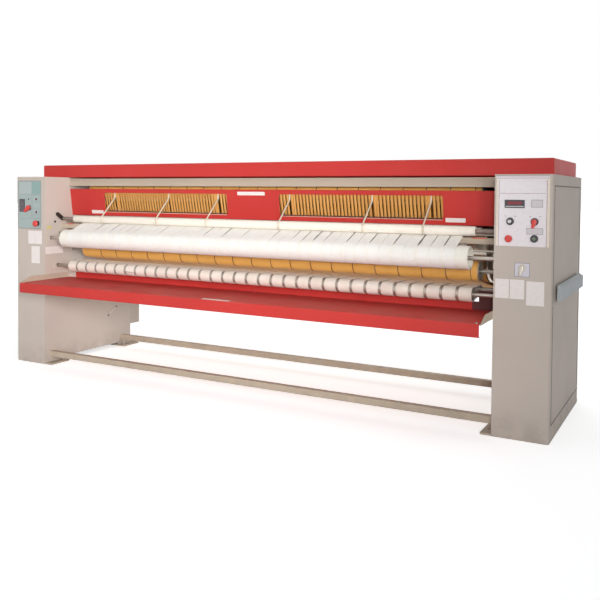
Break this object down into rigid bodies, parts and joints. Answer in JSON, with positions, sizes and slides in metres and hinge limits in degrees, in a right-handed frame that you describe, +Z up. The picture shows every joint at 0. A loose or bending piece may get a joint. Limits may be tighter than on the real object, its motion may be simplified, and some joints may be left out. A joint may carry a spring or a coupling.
{
  "type": "flatwork ironer",
  "caption": "Wide commercial flatwork ironer: a heated cylinder wrapped by ironing belts, feed and return belts and a receiving tray between two end cabinets with control panels.",
  "frame": {"origin": "on the floor, at the centre of the four anchor holes, midway between the end cabinets", "axes": "+X along the rolls towards the cabinet with the main control panel, +Y to the back, +Z up"},
  "size_m": [3.938, 1.281, 1.484],
  "materials": {
    "red_paint": "semi-gloss red paint",
    "cabinet_paint": "satin warm grey paint",
    "guard_paint": "satin grey paint",
    "frame_paint": "satin beige grey paint",
    "rail_paint": "satin beige paint",
    "pale_paint": "satin pale paint",
    "zinc_steel": "dull zinc plate",
    "roll_steel": "ground steel",
    "polished_steel": "polished steel",
    "white_roll": "smooth white coating",
    "dark_steel": "oiled dark steel",
    "bearing_iron": "cast iron",
    "motor_paint": "grey enamel",
    "amber_webbing": "woven heat-proof webbing",
    "cream_webbing": "woven cotton webbing",
    "white_panel": "matt white plate",
    "blue_grey_panel": "matt blue-grey plate",
    "display_dark": "glossy dark window",
    "red_plastic": "glossy red plastic",
    "green_plastic": "grey-green plastic",
    "black_plastic": "matt black plastic"
  },
  "bodies": {
    "base": {"back_cover": "cabinet_paint", "burner_tube": "dark_steel", "cylinder_bearings": "bearing_iron", "drive_chain": "dark_steel", "feed_bed": "rail_paint", "feed_belts": "cream_webbing", "feed_tie_rods": "zinc_steel", "finger_bar": "frame_paint", "floor_rails": "rail_paint", "foot_plates": "rail_paint", "gearmotor": "motor_paint", "guide_fingers": "zinc_steel", "guide_tapes": "amber_webbing", "indicator_lamps": "red_plastic", "ironing_belts": "amber_webbing", "left_access_panel": "cabinet_paint", "left_cabinet_shell": "cabinet_paint", "left_control_panel": "blue_grey_panel", "left_rear_housing": "cabinet_paint", "left_side_frame": "frame_paint", "levelling_screws": "zinc_steel", "panel_displays": "display_dark", "receiving_tray": "red_paint", "return_belts": "cream_webbing", "right_access_panel": "cabinet_paint", "right_cabinet_shell": "cabinet_paint", "right_control_panel": "white_panel", "right_rear_cover": "cabinet_paint", "right_side_frame": "frame_paint", "roll_bearings": "bearing_iron", "side_guard_rail": "guard_paint", "speed_plate": "white_panel", "switch_bodies": "black_plastic", "takeup_brackets": "zinc_steel", "tape_bars": "zinc_steel", "top_bar": "pale_paint", "top_cover": "red_paint", "top_rail": "frame_paint", "tray_brackets": "rail_paint", "window_panel": "red_paint"},
    "cylinder": {"heated_cylinder": "polished_steel", "cylinder_sprocket": "dark_steel"},
    "press_levers": {"press_roll_levers": "dark_steel"},
    "motor_sprocket": {"motor_sprocket": "dark_steel"},
    "feed_roll": {"feed_roll": "white_roll"},
    "feed_nose_roll": {"feed_nose_roll": "roll_steel"},
    "top_front_roll": {"top_front_roll": "roll_steel"},
    "rear_top_roll": {"rear_top_roll": "roll_steel"},
    "rear_lower_roll": {"rear_lower_roll": "roll_steel"},
    "front_lower_roll": {"front_lower_roll": "roll_steel"},
    "return_roll": {"return_roll": "roll_steel"},
    "return_rear_roll": {"return_rear_roll": "roll_steel"},
    "press_roll": {"press_roll": "white_roll"},
    "selector_knob": {"selector_knob": "black_plastic"},
    "mode_lever": {"mode_lever": "red_plastic"},
    "stop_button": {"stop_button": "red_plastic"},
    "start_button": {"start_button": "green_plastic"},
    "main_switch_lever": {"main_switch_lever": "red_plastic"},
    "emergency_stop": {"emergency_stop": "red_plastic"},
    "speed_lever": {"speed_lever": "zinc_steel"}
  },
  "joints": [
    {"name": "cylinder_spin", "type": "hinge", "parent": "base", "child": "cylinder", "pos_m": [0, 0.095, 0.985], "axis": [1, 0, 0], "continuous": true},
    {"name": "feed_roll_spin", "type": "hinge", "parent": "base", "child": "feed_roll", "pos_m": [0, -0.401, 0.938], "axis": [1, 0, 0], "continuous": true},
    {"name": "feed_nose_roll_spin", "type": "hinge", "parent": "base", "child": "feed_nose_roll", "pos_m": [0, -0.165, 1.078], "axis": [1, 0, 0], "continuous": true},
    {"name": "top_front_roll_spin", "type": "hinge", "parent": "base", "child": "top_front_roll", "pos_m": [0, -0.12, 1.29], "axis": [1, 0, 0], "continuous": true},
    {"name": "rear_top_roll_spin", "type": "hinge", "parent": "base", "child": "rear_top_roll", "pos_m": [0, 0.335, 1.275], "axis": [1, 0, 0], "continuous": true},
    {"name": "rear_lower_roll_spin", "type": "hinge", "parent": "base", "child": "rear_lower_roll", "pos_m": [0, 0.385, 0.73], "axis": [1, 0, 0], "continuous": true},
    {"name": "front_lower_roll_spin", "type": "hinge", "parent": "base", "child": "front_lower_roll", "pos_m": [0, -0.179, 0.846], "axis": [1, 0, 0], "continuous": true},
    {"name": "return_roll_spin", "type": "hinge", "parent": "base", "child": "return_roll", "pos_m": [0, -0.335, 0.73], "axis": [1, 0, 0], "continuous": true},
    {"name": "return_rear_roll_spin", "type": "hinge", "parent": "base", "child": "return_rear_roll", "pos_m": [0, -0.165, 0.742], "axis": [1, 0, 0], "continuous": true},
    {"name": "motor_sprocket_spin", "type": "hinge", "parent": "base", "child": "motor_sprocket", "pos_m": [1.724, -0.065, 0.56], "axis": [1, 0, 0], "continuous": true},
    {"name": "press_levers_swing", "type": "hinge", "parent": "base", "child": "press_levers", "pos_m": [0, -0.351, 1.113], "axis": [1, 0, 0], "range_deg": [0, 14]},
    {"name": "press_roll_spin", "type": "hinge", "parent": "press_levers", "child": "press_roll", "pos_m": [0, -0.302, 1.079], "axis": [1, 0, 0], "continuous": true},
    {"name": "selector_turn", "type": "hinge", "parent": "base", "child": "selector_knob", "pos_m": [1.737, -0.475, 1.145], "axis": [0, 1, 0], "range_deg": [0, 90]},
    {"name": "mode_turn", "type": "hinge", "parent": "base", "child": "mode_lever", "pos_m": [1.861, -0.475, 1.145], "axis": [0, 1, 0], "range_deg": [-60, 60]},
    {"name": "main_switch_turn", "type": "hinge", "parent": "base", "child": "main_switch_lever", "pos_m": [-1.813, -0.475, 1.16], "axis": [0, 1, 0], "range_deg": [0, 90]},
    {"name": "speed_turn", "type": "hinge", "parent": "base", "child": "speed_lever", "pos_m": [1.802, -0.475, 0.905], "axis": [0, 1, 0], "range_deg": [-60, 60]},
    {"name": "stop_press", "type": "slide", "parent": "base", "child": "stop_button", "axis": [0, 1, 0], "range_m": [0, 0.004], "stiffness_N_per_m": 400, "springref_m": -0.001},
    {"name": "start_press", "type": "slide", "parent": "base", "child": "start_button", "axis": [0, 1, 0], "range_m": [0, 0.004], "stiffness_N_per_m": 400, "springref_m": -0.001},
    {"name": "emergency_press", "type": "slide", "parent": "base", "child": "emergency_stop", "axis": [0, 1, 0], "range_m": [0, 0.004], "stiffness_N_per_m": 400, "springref_m": -0.001}
  ],
  "couplings": [
    {"joint": "feed_roll_spin", "follows": "cylinder_spin", "ratio": 3.7398},
    {"joint": "feed_nose_roll_spin", "follows": "cylinder_spin", "ratio": 10.454},
    {"joint": "top_front_roll_spin", "follows": "cylinder_spin", "ratio": -5.1111},
    {"joint": "rear_top_roll_spin", "follows": "cylinder_spin", "ratio": -5.1111},
    {"joint": "rear_lower_roll_spin", "follows": "cylinder_spin", "ratio": -5.1111},
    {"joint": "front_lower_roll_spin", "follows": "cylinder_spin", "ratio": -4.1818},
    {"joint": "return_roll_spin", "follows": "cylinder_spin", "ratio": -6.1333},
    {"joint": "return_rear_roll_spin", "follows": "cylinder_spin", "ratio": -10.454},
    {"joint": "motor_sprocket_spin", "follows": "cylinder_spin", "ratio": 2.4}
  ]
}
